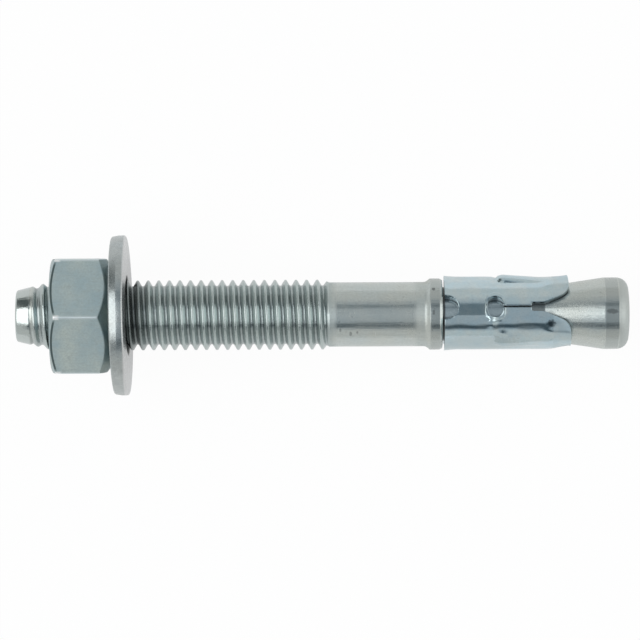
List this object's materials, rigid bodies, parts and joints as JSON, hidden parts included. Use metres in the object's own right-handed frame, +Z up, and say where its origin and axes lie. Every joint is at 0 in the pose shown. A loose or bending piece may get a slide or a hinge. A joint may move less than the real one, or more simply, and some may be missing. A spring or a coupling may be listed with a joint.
{
  "type": "wedge anchor",
  "caption": "Through-bolt wedge anchor: threaded stud with hex nut and washer, collar, neck, three-finger expansion clip and cone that spreads the clip in a drilled hole.",
  "frame": {"origin": "on the floor under the middle of the bolt, with the anchor lying on the washer's rim and the edge of the cone's land", "axes": "+Z up; +X along the floor from the nut to the cone, with the bolt's axis in the XZ plane, falling about 5 degrees towards the cone; +Y across the bolt"},
  "size_m": [0.1017, 0.0266, 0.0268],
  "materials": {
    "plated_bolt": "zinc plated, satin, drawn along the bolt",
    "plated_nut": "zinc plated, satin",
    "plated_washer": "zinc plated, satin",
    "plated_clip": "bright zinc plated, slightly blue"
  },
  "bodies": {
    "bolt": {"bolt": "plated_bolt"},
    "washer": {"washer": "plated_washer"},
    "hex_nut": {"hex_nut": "plated_nut"},
    "expansion_clip": {"expansion_clip": "plated_clip"}
  },
  "joints": [
    {"name": "washer_travel", "type": "slide", "parent": "bolt", "child": "washer", "axis": [0.9959, 0, -0.0907], "range_m": [-0.0123, 0.0333]},
    {"name": "nut_spin", "type": "hinge", "parent": "washer", "child": "hex_nut", "pos_m": [-0.03471, 0, 0.0135], "axis": [0.9959, 0, -0.0907], "range_deg": [-2520, 6840]},
    {"name": "clip_spin", "type": "hinge", "parent": "bolt", "child": "expansion_clip", "pos_m": [0.02007, 0, 0.00851], "axis": [0.9959, 0, -0.0907], "continuous": true}
  ],
  "couplings": [
    {"joint": "washer_travel", "follows": "nut_spin", "m_per_rad": 0.00027852}
  ]
}
